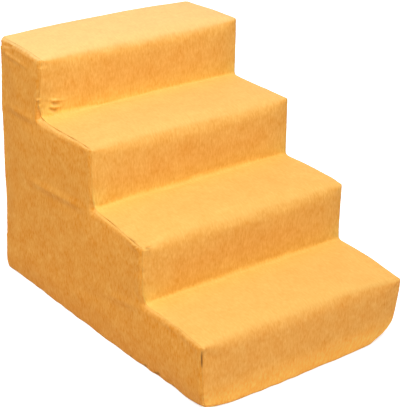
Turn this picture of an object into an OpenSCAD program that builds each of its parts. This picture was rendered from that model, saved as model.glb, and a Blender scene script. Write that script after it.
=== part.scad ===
// Foam pet stairs with a removable velour cover that closes with a zip across the back.
// +X is to the right of someone who climbs, +Y is the climbing direction and +Z is up.
// The origin is at the middle of the footprint, on the floor.

/* [Stairs] */
// Width over the two side seams
stair_w = 400; // [300:5:520]
// Run of each step, from one riser to the next
step_run = 150; // [120:5:200]
// Rise of the bottom step, which is the tallest
first_rise = 125; // [115:5:160]
// Rise of each of the three upper steps
step_rise = 105; // [85:5:140]
// Radius of the cover over the nosings and the top rear edge
nosing_r = 6; // [5.5:0.5:14]
// Radius of the cover where a tread meets the next riser
hollow_r = 3.5; // [2.5:0.5:8]

/* [Cover] */
// Thickness of the velour with its wadding, away from the seams
cover_t = 4; // [3.4:0.1:5]
// Depth to which each face is pulled in at a seam
seam_sink = 1.8; // [1:0.1:2.2]
// Width over which a face rolls down to its seam
seam_roll = 15; // [8:1:24]
// Crown of the treads and risers across their width
step_crown = 2.5; // [0:0.1:4]
// Crown of the two side panels
side_crown = 4; // [0:0.1:6]
// Width over which a side panel swells to its full crown
side_swell = 100; // [50:5:110]
// Crown of the back
back_crown = 3; // [1.5:0.1:5]
// Length of the step panel that turns down over the top rear edge
rear_turn = 24; // [18:1:40]
// Draw of the cover's foot towards the middle, at the front edge of the floor
foot_draw = 7; // [1:0.5:12]
// Height of the drawn-in foot
foot_h = 45; // [30:1:60]
// Further draw of the two front corners at the floor
corner_draw = 13; // [1:0.5:16]
// Reach of that draw along the floor from each corner
corner_reach = 64; // [50:1:80]
// Thickness of the non-slip base cloth
base_t = 1.5; // [1:0.1:3]
// Clearance between the foam and the cover
foam_ease = 0.3; // [0.2:0.05:1]

/* [Zip] */
// Distance from each side seam to the row of teeth
zip_margin = 32; // [26:1:60]
// Height of the zip's middle line above the floor
zip_z = 68; // [62:1:74]
// Distance of the zip's middle plane inside the face of the back
zip_in = 3; // [2.9:0.05:3.2]
// Half the height of the window that the back panels leave open over the zip
window_half = 7; // [6.8:0.1:9]
// Width of each tape
tape_w = 14; // [12:0.5:18]
// Thickness of each tape
tape_t = 0.8; // [0.6:0.05:0.9]
// Distance from the zip's middle line to each tape's inner edge
tape_edge = 2; // [1.95:0.05:2.2]
// Distance between neighbouring teeth of one row
tooth_pitch = 3; // [2.9:0.05:3.4]
// Thickness of a tooth
tooth_t = 2.4; // [2.1:0.05:2.5]
// Half the width of the closed chain of teeth
chain_half = 3; // [2.8:0.05:3.1]
// Reach of a tooth's head past the middle line
head_reach = 1; // [0.8:0.05:1.1]
// Gap between teeth that are locked together
tooth_gap = 0.12; // [0.1:0.01:0.16]

/* [Slider] */
// Length of the slider's plates
slider_l = 12; // [11:0.5:15]
// Half the slider's width at its mouth
slider_half = 5.4; // [5.2:0.05:5.6]
// Half the slider's width at its tail
slider_tail_half = 4.8; // [4.6:0.05:5]
// Thickness of the slider's plates
plate_t = 1; // [0.8:0.05:1.1]
// Thickness of the slider's side flanges
flange_t = 0.9; // [0.7:0.05:1]
// Clearance between the slider and what it runs on
slide_gap = 0.3; // [0.25:0.05:0.35]
// Half the width of the wedge between the plates
wedge_half = 1.6; // [1.2:0.05:1.7]
// Width of the bridge that holds the pull
bridge_w = 2.2; // [1.8:0.1:2.6]
// Thickness of the bridge
bridge_t = 1; // [0.8:0.05:1.2]
// Radius of the pull's cross bar
bar_r = 0.7; // [0.6:0.05:0.8]
// Length of the pull, from its cross bar to its tip
pull_l = 27; // [20:1:36]
// Width of the pull
pull_w = 8; // [7:0.5:9]
// Thickness of the pull
pull_t = 1.4; // [1.2:0.05:1.5]
// Radius of the hole in the pull's tip
pull_hole_r = 1.8; // [1:0.1:2.2]

/* [Hidden] */

steps = 4;
stair_d = steps * step_run;
half_w = stair_w / 2;
half_d = stair_d / 2;
stair_h = first_rise + (steps - 1) * step_rise;
seam_x = half_w - seam_sink;
inner_x = half_w - cover_t;
foam_x = inner_x - foam_ease;
foam_in = cover_t + foam_ease;
// The front swells by the step crown and the back by its own, so the footprint's middle moves
shift_y = (step_crown - back_crown) / 2;
overrun = 1;

function riser_y(k) = -half_d + (k - 1) * step_run;
function tread_z(k) = first_rise + (k - 1) * step_rise;

// Shape of a face near its seam: 1 at the seam, 0 from the end of the roll inwards
function rolled(d, reach) = pow(1 - min(1, max(0, d) / reach), 2);

// The foot of the cover is drawn towards the middle, most of all at the floor and at the
// front corners, and least along the back
foot_rear_share = 0.25;
function foot_in(p) = foot_draw * pow(max(0, 1 - p.z / foot_h), 2)
    * (foot_rear_share + (1 - foot_rear_share) * (half_d - p.y) / stair_d);
function nearness(d) = 1 - min(1, max(0, d) / corner_reach);
function corner_in(p) = corner_draw * pow(max(0, 1 - p.z / foot_h)
    * nearness(half_w - abs(p.x)) * nearness(half_d + p.y), 2);
function drawn(p) = let (in = foot_in(p) + corner_in(p))
    [p.x * (1 - in / half_w), p.y * (1 - in / half_d) + shift_y, p.z];

// Rows of every panel, from the floor up. Below the first nosing they follow the rebate and
// the window of the zip. Each nosing has a row for every third of its radius.
corner_steps = 3;
rebate_half = tape_w + 1;
upper_end_z = zip_z + window_half;
lower_end_z = zip_z - window_half;
turn_end_z = stair_h - rear_turn;
low_row_shares = [0, 0.1, 0.25, 0.5, 0.8];
low_z = concat([for (s = low_row_shares) base_t + s * (zip_z - rebate_half - base_t)],
    [zip_z - rebate_half, lower_end_z, upper_end_z, zip_z + rebate_half]);
corner_size = nosing_r - seam_sink;
corner_rows = [for (i = [0 : corner_steps]) corner_size * i / corner_steps];
function riser_rows(k) = let (low = tread_z(k) + hollow_r, high = tread_z(k + 1) - nosing_r)
    k == steps ? [] : [low, k == steps - 1 ? turn_end_z : (low + high) / 2];
row_z = concat(low_z, [for (k = [1 : steps]) each
    concat([for (c = corner_rows) tread_z(k) - nosing_r + c], riser_rows(k))]);
rows_per_step = corner_steps + 3;
function corner_row(k) = len(low_z) + (k - 1) * rows_per_step;
function tread_row(k) = corner_row(k) + corner_steps;
turn_row = tread_row(steps - 1) + 2;
window_top_row = len(low_z) - 2;
window_low_row = len(low_z) - 3;

// Columns of a side panel, from the front to the back
tread_col_shares = [0.12, 0.5, 0.88];
function tread_cols(from, to) = [for (s = tread_col_shares) from + s * (to - from)];
col_y = [for (k = [1 : steps]) each concat(
    [for (c = corner_rows) riser_y(k) + seam_sink + c],
    k < steps
        ? concat(tread_cols(riser_y(k) + nosing_r, riser_y(k + 1) - hollow_r), [riser_y(k + 1) - hollow_r])
        : concat(tread_cols(riser_y(k) + nosing_r, half_d - nosing_r),
            [for (c = corner_rows) half_d - nosing_r + c]))];
cols_per_step = corner_steps + len(tread_col_shares) + 2;
function step_col(k) = (k - 1) * cols_per_step;
last_col = len(col_y) - 1;
rear_corner_col = last_col - corner_steps;

// Outline of the cover seen from the side. Each entry holds a point's y and z on the nominal
// face and the inward normal there. It runs up the front and the steps, down the back and
// forward along the floor.
arc_steps = 2 * corner_steps;
function arc_entry(y, z, r, a, sign) = [y + r * cos(a), z + r * sin(a), sign * cos(a), sign * sin(a)];
function nosing_arc(y, z, from) = [for (i = [0 : arc_steps])
    arc_entry(y, z, nosing_r, from - i * 90 / arc_steps, -1)];
function hollow_arc(y, z) = [for (a = [270, 315, 360]) arc_entry(y, z, hollow_r, a, 1)];
function tread_line(from, to, z) = [for (y = tread_cols(from, to)) [y, z, 0, -1]];
step_lines = [for (k = [1 : steps]) each
    let (y = riser_y(k) + nosing_r, z = tread_z(k), end_y = riser_y(k + 1) - hollow_r)
    k < steps
        ? concat(nosing_arc(y, z - nosing_r, 180), tread_line(y, end_y, z),
            hollow_arc(end_y, z + hollow_r), [[riser_y(k + 1), riser_rows(k)[1], 1, 0]])
        : concat(nosing_arc(y, z - nosing_r, 180), tread_line(y, half_d - nosing_r, z),
            nosing_arc(half_d - nosing_r, z - nosing_r, 90))];
step_path = concat([for (z = low_z) [-half_d, z, 1, 0]], step_lines, [[half_d, turn_end_z, -1, 0]]);
back_path = [for (r = [turn_row - 1 : -1 : 0]) [half_d, row_z[r], -1, 0]];
floor_path = [for (c = [last_col - 1 : -1 : 1])
    let (y = col_y[c] / (1 - seam_sink / half_d)) [y, base_t, -y / half_d, 0]];
side_path = concat(step_path, back_path, floor_path);

function on_path(e, inset) = [e[0] + inset * e[2], e[1] + inset * e[3]];

// Triangles between two lists of point numbers, closed round if asked
function band(a, b, closed = false) = [for (i = [0 : len(a) - (closed ? 1 : 2)])
    let (j = (i + 1) % len(a)) each [[a[i], b[j], b[i]], [a[i], a[j], b[j]]]];
function turned(faces) = [for (f = faces) [for (i = [len(f) - 1 : -1 : 0]) f[i]]];
function count(from, n) = [for (i = [0 : n - 1]) from + i];

// Columns of a crowned panel across the stairs, as shares of the distance to the seam
half_column_shares = [0, 0.45, 0.74, 0.88, 0.96, 1];
column_shares = concat([for (i = [len(half_column_shares) - 1 : -1 : 1]) -half_column_shares[i]],
    half_column_shares);
column_n = len(column_shares);

// Columns of the panel's backing, which only has to follow the drawn-in corners
backing_shares = [-1, -0.85, -0.7, 0.7, 0.85, 1];
backing_n = len(backing_shares);

// Triangles that close a panel's end, between its crowned row and its backing's row
function facing(c) = c >= column_n - 1 ? backing_n - 1
    : len([for (s = backing_shares) if (2 * s < column_shares[c] + column_shares[c + 1]) s]) - 1;
function end_cap(row, back) = concat(
    [for (c = [0 : column_n - 2]) [row[c], row[c + 1], back[facing(c)]]],
    [for (c = [1 : column_n - 1], j = [facing(c - 1) : 1 : facing(c) - 1]) [row[c], back[j + 1], back[j]]]);

// A panel of crowned columns over its backing's columns, each a list of points
module crowned_panel(outer, backing) {
    n = len(outer[0]);
    cols = [for (c = [0 : column_n - 1]) count(c * n, n)];
    backs = [for (c = [0 : backing_n - 1]) count((column_n + c) * n, n)];
    faces = concat(
        [for (c = [0 : column_n - 2]) each band(cols[c], cols[c + 1])],
        [for (c = [0 : backing_n - 2]) each turned(band(backs[c], backs[c + 1]))],
        band(backs[0], cols[0]),
        band(cols[column_n - 1], backs[backing_n - 1]),
        end_cap([for (c = cols) c[0]], [for (c = backs) c[0]]),
        turned(end_cap([for (c = cols) c[n - 1]], [for (c = backs) c[n - 1]])));
    polyhedron([for (c = concat(outer, backing), p = c) drawn(p)], faces, convexity = 8);
}

// The foam's edges are rounded a little less than the cover over them, and its foot is
// chamfered, so that the drawn-in cover clears it
foam_edge_r = 0.8;
foam_foot_h_share = 1.35;
foam_corner_h_share = 1.5;
foam_foot_in_share = 1.05;
foam_corner_in_share = 0.78;
module foot_cut(face, depth, along, h) {
    rotate([90, 0, 90]) translate([0, 0, -along]) linear_extrude(2 * along) polygon([
        [face - overrun, base_t - overrun], [face + depth, base_t - overrun],
        [face + depth, base_t], [face - overrun, h + overrun * (h - base_t) / depth]]);
}

module foam_slab(k) {
    low = k == 1 ? base_t : tread_z(k - 1) - foam_in;
    top = tread_z(k) - foam_in;
    front = riser_y(k) + foam_in;
    back = half_d - foam_in;
    r = max(foam_edge_r, nosing_r - foam_in);
    depth = foam_foot_in_share * foot_draw;
    foot_top = foam_foot_h_share * foot_h;
    corner_depth = foam_corner_in_share * corner_reach;
    corner_top = foam_corner_h_share * foot_h;
    color("#F2E7C9") translate([0, shift_y, 0]) difference() {
        rotate([90, 0, 90]) translate([0, 0, -foam_x]) linear_extrude(2 * foam_x) union() {
            translate([front, low]) square([back - front, top - low - r]);
            translate([front + r, low]) square([back - front - (k == steps ? 2 : 1) * r, top - low]);
            translate([front + r, top - r]) circle(r, $fn = 48);
            if (k == steps) translate([back - r, top - r]) circle(r, $fn = 48);
        }
        if (k == 1) {
            foot_cut(front, depth, stair_w, foot_top);
            mirror([0, 1, 0]) foot_cut(-back, foot_rear_share * depth, stair_w, foot_top);
            for (side = [0, 1]) mirror([side, 0, 0]) {
                rotate([0, 0, 90]) foot_cut(-foam_x, depth, stair_d, foot_top);
                translate([foam_x, front, 0]) rotate([0, 0, 45])
                    foot_cut(0, corner_depth, corner_reach, corner_top);
            }
            translate([-half_w, zip_back_y - slide_gap, zip_z - slider_half - slide_gap])
                cube([stair_w, cover_t + overrun, 2 * (slider_half + slide_gap)]);
        }
    }
}

module foam_slab_1() { foam_slab(1); }
module foam_slab_2() { foam_slab(2); }
module foam_slab_3() { foam_slab(3); }
module foam_slab_4() { foam_slab(4); }

// Inset of the step panel's outer face at a column and a point of its path
function strip_end(e) = e[0] < 0 ? e[1] - base_t : max(0, e[1] - turn_end_z);
function strip_inset(x, e) = let (d = min(seam_x - abs(x), strip_end(e)))
    seam_sink * rolled(d, seam_roll)
    - step_crown * (1 - pow(x / seam_x, 2)) * (1 - rolled(strip_end(e), side_swell / 2));

module step_panel() {
    outer = [for (s = column_shares) let (x = s * seam_x)
        [for (e = step_path) let (p = on_path(e, strip_inset(x, e))) [x, p[0], p[1]]]];
    backing = [for (s = backing_shares)
        [for (e = step_path) let (p = on_path(e, cover_t)) [s * inner_x, p[0], p[1]]]];
    color("#F0A942") crowned_panel(outer, backing);
}

// Distance of a side panel's point from the panel's seams, and the outer face's x there
function quarter_depth(y, z, k) = norm([max(0, y - riser_y(k)), k > 1 ? max(0, tread_z(k - 1) - z) : 0]);
function seam_depth(y, z) = min(concat([for (k = [1 : steps]) quarter_depth(y, z, k)],
    [stair_h - z, half_d - y, z - base_t + seam_sink])) - seam_sink;
function side_x(depth) = half_w - seam_sink * rolled(depth, seam_roll)
    + side_crown * (1 - rolled(depth, side_swell));

// A side panel's outer face is a net of the columns and rows above. Its corner squares turn
// into round nosings, and the corner of each hollow moves out to meet the hollow's arc.
function round_corner(a, b) = let (m = max(a, b), turn = m > 0 ? 45 * min(a, b) / m : 0)
    a >= b ? m * [cos(turn), sin(turn)] : m * [sin(turn), cos(turn)];
function corner_point(y, z, side, a, b) = let (v = corner_size * round_corner(a, b))
    [y + side * v[0], z + v[1], corner_size * (1 - max(a, b))];
function net_point(c, r) = let (
    k = min(steps, floor(c / cols_per_step) + 1),
    a = c - step_col(k),
    b = (r - corner_row(k)) / corner_steps,
    rear = (c - rear_corner_col) / corner_steps,
    y = col_y[c],
    z = row_z[r],
    at_hollow = a == 0 && k > 1 && r == tread_row(k - 1),
    hollow = on_path(hollow_arc(riser_y(k) - hollow_r, tread_z(k - 1) + hollow_r)[1], seam_sink))
    at_hollow ? [hollow[0], hollow[1], 0]
        : b < 0 ? [y, z, seam_depth(y, z)]
        : a <= corner_steps
            ? corner_point(riser_y(k) + nosing_r, tread_z(k) - nosing_r, -1, 1 - a / corner_steps, b)
        : rear >= 0 ? corner_point(half_d - nosing_r, stair_h - nosing_r, 1, rear, b)
        : [y, z, seam_depth(y, z)];
function top_row(c) = tread_row(min(steps, floor(c / cols_per_step) + 1));
function net_id(c, r) = c * len(row_z) + r;
net_rim = concat(
    [for (k = [1 : steps]) each concat(
        [for (r = [k == 1 ? 0 : tread_row(k - 1) : tread_row(k)]) net_id(step_col(k), r)],
        [for (c = [step_col(k) + 1 : k < steps ? step_col(k + 1) - 1 : last_col]) net_id(c, tread_row(k))])],
    [for (r = [tread_row(steps) - 1 : -1 : 0]) net_id(last_col, r)],
    [for (c = [last_col - 1 : -1 : 1]) net_id(c, 0)]);

// The inner face is a fan of triangles round a point that sees the whole outline, with two
// rings between the point and the outline
eye_y_share = 0.5;
eye_z_share = 0.45;
eye = [riser_y(steps) + eye_y_share * step_run, eye_z_share * first_rise];
ring_shares = [1, 0.94, 0.6];

module side_panel_right() {
    net = [for (c = [0 : last_col]) each [for (r = [0 : len(row_z) - 1]) let (p = net_point(c, r))
        [side_x(p[2]), p[0], p[1]]]];
    rings = [for (s = ring_shares) [for (e = side_path) eye + s * (on_path(e, cover_t) - eye)]];
    backing = [for (p = concat([for (ring = rings) each ring], [eye])) [inner_x, p[0], p[1]]];
    n = len(side_path);
    ids = [for (i = [0 : len(rings) - 1]) count(len(net) + i * n, n)];
    last_ids = ids[len(ids) - 1];
    eye_id = len(net) + len(ids) * n;
    faces = concat(
        [for (c = [0 : last_col - 1]) each band(
            [for (r = [0 : min(top_row(c), top_row(c + 1))]) net_id(c, r)],
            [for (r = [0 : min(top_row(c), top_row(c + 1))]) net_id(c + 1, r)])],
        turned(band(net_rim, ids[0], true)),
        [for (i = [1 : len(ids) - 1]) each turned(band(ids[i - 1], ids[i], true))],
        turned([for (i = [0 : n - 1]) [last_ids[i], last_ids[(i + 1) % n], eye_id]]));
    color("#DF9A40") polyhedron([for (p = concat(net, backing)) drawn(p)], faces, convexity = 8);
}

module side_panel_left() { mirror([1, 0, 0]) side_panel_right(); }

// Back panels: their outer face swells, and their inner face is rebated over the zip's tape
hem_sink = 0.8;
hem_roll = 6;
rebate_y = half_d - zip_in + tape_t / 2;
function back_end(z) = min(turn_end_z - z, z - base_t);
function back_inset(x, z) = seam_sink * rolled(min(seam_x - abs(x), back_end(z)), seam_roll)
    + hem_sink * rolled(abs(z - zip_z) - window_half, hem_roll)
    - back_crown * (1 - pow(x / seam_x, 4)) * (1 - rolled(back_end(z), side_swell));
function back_inner_y(z) = abs(z - zip_z) < rebate_half + tape_t ? rebate_y : half_d - cover_t;
module back_panel(rows) {
    outer = [for (s = column_shares) let (x = s * seam_x)
        [for (z = rows) [x, half_d - min(back_inset(x, z), seam_sink), z]]];
    backing = [for (s = backing_shares) [for (z = rows) [s * inner_x, back_inner_y(z), z]]];
    color("#E3A046") crowned_panel(outer, backing);
}

module back_panel_upper() { back_panel([for (r = [turn_row : -1 : window_top_row]) row_z[r]]); }
module back_panel_lower() { back_panel([for (r = [window_low_row : -1 : 0]) row_z[r]]); }

// The base cloth is sewn to the bottom edge of every panel, point for point
module base_panel() {
    seam_y = half_d - seam_sink;
    side_y = [for (c = [1 : last_col - 1]) col_y[c]];
    across = [for (s = column_shares) s * seam_x];
    edge = concat(
        [for (x = across) [x, -seam_y]],
        [for (y = side_y) [seam_x, y]],
        [for (x = across) [-x, seam_y]],
        [for (y = side_y) [-seam_x, -y]]);
    outline = [for (e = edge) let (p = drawn([e[0], e[1], base_t])) [p[0], p[1]]];
    color("#3A3A3C") linear_extrude(base_t) polygon(outline);
}

// Zip. Its parts are drawn flat, with x along the zip, y across it and z out of the back,
// and on_back() stands them up against the back panels.
module on_back() {
    translate([0, half_d - zip_in + shift_y, zip_z]) rotate([-90, 0, 0]) mirror([0, 1, 0]) children();
}

module zip_tape_upper() {
    tape_l = 2 * (inner_x - foam_ease);
    color("#C88A36") on_back() translate([-tape_l / 2, tape_edge, -tape_t / 2])
        cube([tape_l, tape_w - tape_edge, tape_t]);
}

module zip_tape_lower() {
    tape_l = 2 * (inner_x - foam_ease);
    color("#C88A36") on_back() translate([-tape_l / 2, -tape_w, -tape_t / 2])
        cube([tape_l, tape_w - tape_edge, tape_t]);
}

// One moulded tooth: a heel that grips the tape, a neck, and a head that locks behind the
// heads of the other row
heel_share = 0.74;
neck_share = 0.24;
head_share = 0.6;
head_tip_share = 0.36;
head_neck = tooth_gap / 2;
heel_end = head_reach + tooth_gap;
module tooth() {
    heel = heel_share * tooth_pitch / 2;
    neck = neck_share * tooth_pitch / 2;
    head = head_share * tooth_pitch / 2;
    tip = head_tip_share * tooth_pitch / 2;
    right = [[heel, chain_half], [heel, heel_end], [neck, heel_end], [neck, -head_neck],
        [head, -head_neck], [head, -(head_neck + head_reach) / 2], [tip, -head_reach]];
    left = [for (i = [len(right) - 1 : -1 : 0]) [-right[i][0], right[i][1]]];
    difference() {
        translate([0, 0, -tooth_t / 2]) linear_extrude(tooth_t) polygon(concat(right, left));
        translate([-tooth_pitch / 2, tape_edge, -tape_t / 2]) cube([tooth_pitch, chain_half, tape_t]);
    }
}

tooth_n = floor((stair_w - 2 * zip_margin) / tooth_pitch);
first_tooth_x = zip_margin - half_w;
last_tooth_x = first_tooth_x + (tooth_n - 1) * tooth_pitch;
module zip_teeth_upper() {
    color("#D9983C") on_back() for (i = [0 : tooth_n - 1])
        translate([first_tooth_x + i * tooth_pitch, 0, 0]) tooth();
}

module zip_teeth_lower() {
    color("#D9983C") on_back() for (i = [0 : tooth_n - 2])
        translate([first_tooth_x + (i + 1 / 2) * tooth_pitch, 0, 0]) mirror([0, 1, 0]) tooth();
}

// The stops are folded clips, so each has a slot for its tape
stop_l = 3.2;
stop_half = 3.4;
module zip_stop(x, y0, y1) {
    translate([x, y0, -tooth_t / 2]) cube([stop_l, y1 - y0, tooth_t]);
}
module tape_slot(x) {
    translate([x - overrun, tape_edge, -tape_t / 2]) cube([stop_l + 2 * overrun, stop_half, tape_t]);
}
bottom_stop_x = first_tooth_x - tooth_pitch / 2 - slide_gap - stop_l;
module zip_bottom_stop() {
    color("#B9B4A8") on_back() difference() {
        zip_stop(bottom_stop_x, -stop_half, stop_half);
        tape_slot(bottom_stop_x);
        mirror([0, 1, 0]) tape_slot(bottom_stop_x);
    }
}

// Slider at rest: closed, with its wedge just past the last tooth
wedge_share = 0.42;
wedge_l = wedge_share * slider_l;
slider_x = last_tooth_x + tooth_pitch / 2 + slide_gap + wedge_l - slider_l / 2;
top_stop_x = slider_x + slider_l / 2 + slide_gap;
module zip_top_stops() {
    color("#B9B4A8") on_back() for (side = [0, 1]) mirror([0, side, 0]) difference() {
        zip_stop(top_stop_x, tape_edge - stop_half + tape_edge, stop_half);
        tape_slot(top_stop_x);
    }
}

plate_z = tooth_t / 2 + slide_gap;
zip_back_y = half_d - zip_in - plate_z - plate_t;
bar_z = plate_z + plate_t + slide_gap + pull_t / 2;
bridge_half = bar_r + slide_gap + bridge_t;
bridge_top = bar_z + bar_r + slide_gap + bridge_t;
module slider_outline(inset) {
    nose = slider_l / 2;
    polygon([[-nose, -slider_tail_half + inset], [0, -slider_half + inset], [nose, -slider_half + inset],
        [nose, slider_half - inset], [0, slider_half - inset], [-nose, slider_tail_half - inset]]);
}
module slider_half_shell() {
    flange_z = tape_t / 2 + slide_gap;
    translate([0, 0, plate_z]) linear_extrude(plate_t) slider_outline(0);
    translate([0, 0, flange_z]) linear_extrude(plate_z - flange_z + overrun / 2) difference() {
        slider_outline(0);
        translate([-overrun, 0]) slider_outline(flange_t);
        translate([overrun, 0]) slider_outline(flange_t);
    }
}
module zip_slider() {
    nose = slider_l / 2;
    color("#A9834A") on_back() translate([slider_x, 0, 0]) {
        slider_half_shell();
        mirror([0, 0, 1]) slider_half_shell();
        translate([0, 0, -plate_z - plate_t / 2]) linear_extrude(2 * plate_z + plate_t)
            polygon([[nose - wedge_l, 0], [nose, -wedge_half], [nose, wedge_half]]);
        translate([0, bridge_w / 2, plate_z]) rotate([90, 0, 0]) linear_extrude(bridge_w) difference() {
            translate([-bridge_half, 0]) square([2 * bridge_half, bridge_top - plate_z]);
            translate([-bar_r - slide_gap, plate_t])
                square([2 * (bar_r + slide_gap), bridge_top - bridge_t - plate_z - plate_t]);
        }
    }
}

// Pull: a tapered tab whose cross bar lies under the slider's bridge
eye_l = norm([bridge_half, bridge_top - bar_z]) + slide_gap;
eye_half = bridge_w / 2 + slide_gap;
pull_neck_share = 0.8;
module zip_pull() {
    neck = pull_neck_share * pull_w / 2;
    tip = pull_l - pull_w / 2;
    color("#A9834A") on_back() translate([slider_x, 0, bar_z]) {
        translate([0, 0, -pull_t / 2]) linear_extrude(pull_t) difference() {
            union() {
                polygon([[0, -neck], [-tip, -pull_w / 2], [-tip, pull_w / 2], [0, neck]]);
                translate([-tip, 0]) circle(pull_w / 2, $fn = 48);
            }
            translate([-eye_l, -eye_half]) square([eye_l + overrun, 2 * eye_half]);
            translate([-tip, 0]) circle(pull_hole_r, $fn = 32);
        }
        rotate([90, 0, 0]) cylinder(r = bar_r, h = 2 * neck, center = true, $fn = 32);
    }
}

foam_slab_1();
foam_slab_2();
foam_slab_3();
foam_slab_4();
step_panel();
side_panel_left();
side_panel_right();
back_panel_upper();
back_panel_lower();
base_panel();
zip_tape_upper();
zip_tape_lower();
zip_teeth_upper();
zip_teeth_lower();
zip_bottom_stop();
zip_top_stops();
zip_slider();
zip_pull();
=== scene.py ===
import math

import bmesh
import bpy
import numpy as np
from mathutils import Matrix, Vector


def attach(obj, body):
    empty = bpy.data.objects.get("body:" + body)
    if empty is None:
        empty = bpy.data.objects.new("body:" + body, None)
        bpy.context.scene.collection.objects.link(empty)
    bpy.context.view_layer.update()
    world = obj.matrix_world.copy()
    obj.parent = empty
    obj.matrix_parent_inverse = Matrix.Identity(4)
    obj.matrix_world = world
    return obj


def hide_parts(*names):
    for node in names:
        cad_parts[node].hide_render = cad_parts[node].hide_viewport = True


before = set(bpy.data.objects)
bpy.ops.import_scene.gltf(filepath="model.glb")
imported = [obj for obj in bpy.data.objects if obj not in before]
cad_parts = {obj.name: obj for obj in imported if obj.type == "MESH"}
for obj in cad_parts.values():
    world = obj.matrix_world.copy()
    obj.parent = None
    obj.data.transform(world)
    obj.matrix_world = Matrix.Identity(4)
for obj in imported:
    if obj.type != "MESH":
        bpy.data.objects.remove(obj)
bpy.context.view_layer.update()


# Step panel: one long strip of velour, backed with wadding, that runs up the front, over the
# four treads and down over the top rear edge. It is laid out flat as a grid and then bent
# round the steps, so that its UV map is the flat strip. Sizes are in millimetres.
MM = 0.001
STEPS = 4
STEP_RUN = 150
FIRST_RISE = 125
STEP_RISE = 105
HALF_W = 200
HALF_D = STEPS * STEP_RUN // 2
STAIR_H = FIRST_RISE + (STEPS - 1) * STEP_RISE
# The assembly is centred on its crowned faces, which puts its seams a little forward.
SHIFT_Y = -0.25
# The nosings and hollows are tight at the seams and soft midway. Each nosing has softened by its
# own share of that, from the lowest step up, and the top rear edge least.
NOSING_R, SOFT_NOSING_R = 6, 16
HOLLOW_R, SOFT_HOLLOW_R = 3.5, 13
NOSING_SHARE = (0.5, 1.0, 1.0, 0.75)
REAR_SHARE = 0.2
# The seams sink between the faces, whose crown starts from the strip's ends over a length.
SEAM_SINK, SEAM_ROLL = 1.8, 9
STEP_CROWN, STEP_SWELL = 0.8, 50
SEAM_X = HALF_W - SEAM_SINK
REAR_TURN = 24
TURN_END = STAIR_H - REAR_TURN
HEM_Z = 0.4
ZIP_Z, WINDOW_HALF = 68, 7
WINDOW_LOW, WINDOW_HIGH = ZIP_Z - WINDOW_HALF, ZIP_Z + WINDOW_HALF
# How far the foot is drawn in, up to what height, what share of it reaches the rear, and how
# much more the front corners are drawn in and within what distance.
FOOT_DRAW, FOOT_H, FOOT_REAR = 7, 45, 0.25
CORNER_DRAW, CORNER_REACH = 13, 64
# The spacing of the cloth's rows and columns, finer at the seams and where riser 4 puckers.
NET, NET_FOOT, NET_FOLDS, NET_SEAM, NET_MIDDLE = 5, 4.6, 2.5, 3, 6
FOLDS_END = 372
MIDDLE_SHARE = 0.72
CORNER_N = 3
CORNER = NOSING_R - SEAM_SINK


def spaced(start, end, step):
    return list(np.linspace(start, end, max(1, round(abs(end - start) / step)) + 1))


def riser_y(k):
    return -HALF_D + (k - 1) * STEP_RUN


def tread_z(k):
    return FIRST_RISE + (k - 1) * STEP_RISE


def rolled(distance, reach):
    return (1 - np.clip(distance / reach, 0, 1)) ** 2


def draw_foot(p):
    """The foot of the cover is drawn towards the middle, most at its two front corners."""
    x, y, z = p.T
    up = np.clip(1 - z / FOOT_H, 0, None)
    inward = FOOT_DRAW * up ** 2 * (FOOT_REAR + (1 - FOOT_REAR) * (HALF_D - y) / (2 * HALF_D))
    near_side = 1 - np.clip((HALF_W - abs(x)) / CORNER_REACH, 0, 1)
    near_front = 1 - np.clip((HALF_D + y) / CORNER_REACH, 0, 1)
    inward = inward + CORNER_DRAW * (up * (near_side * near_front)) ** 2
    return np.stack([x * (1 - inward / HALF_W), y * (1 - inward / HALF_D) + SHIFT_Y, z], 1)


# Where the soft foam has given way and the cover has moved with it: a place, the reach of the
# change along x, y and z, and the shift there.
SETTLING = (
    ((200, -300, 125), (65, 55, 60), (2, 0, -11)),
    ((200, -150, 230), (40, 25, 30), (0, 0, -3)),
    ((200, -300, 15), (60, 60, 60), (-7, 4, 0)),
    ((-200, -205, 0), (60, 70, 40), (6, 0, 0)),
    ((-200, -300, 125), (45, 45, 45), (-3, 0, -1)),
    ((-200, -150, 225), (45, 45, 50), (-4, 0, -5)),
    ((-200, -75, 228), (45, 85, 28), (0, 0, -6)),
    ((-200, -150, 150), (30, 40, 50), (-5, 0, 0)),
    ((-200, 110, 335), (45, 75, 25), (0, 0, -6.5)),
    ((-200, 0, 335), (45, 45, 45), (0, 0, -2)),
    ((-200, 150, 440), (45, 45, 45), (0, 0, -4)),
    ((200, 300, 440), (60, 60, 60), (-2, -2, -3)),
    ((-200, 300, 0), (70, 60, 90), (-4, 3, 0)),
    ((-200, 300, 440), (60, 60, 110), (4, -3, -3)),
    ((-200, 150, 0), (60, 150, 60), (-3, 0, 0)),
    ((-60, -300, 0), (90, 50, 50), (0, -2.5, 0)),
    ((200, -225, 170), (60, 120, 90), (-2, 0, 0)),
    ((200, -225, 125), (70, 80, 40), (0, 0, 2)),
    ((200, -75, 230), (70, 80, 40), (0, 0, 2)),
    ((-202, 152, 335), (28, 60, 55), (0, 17, 0)))


def settle(p):
    moved = 0 * p
    for place, reach, shift in SETTLING:
        away = np.linalg.norm((p - np.array(place)) / np.array(reach), axis=1)
        moved = moved + np.exp(-away ** 2)[:, None] * np.array(shift)
    return p + moved


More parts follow.
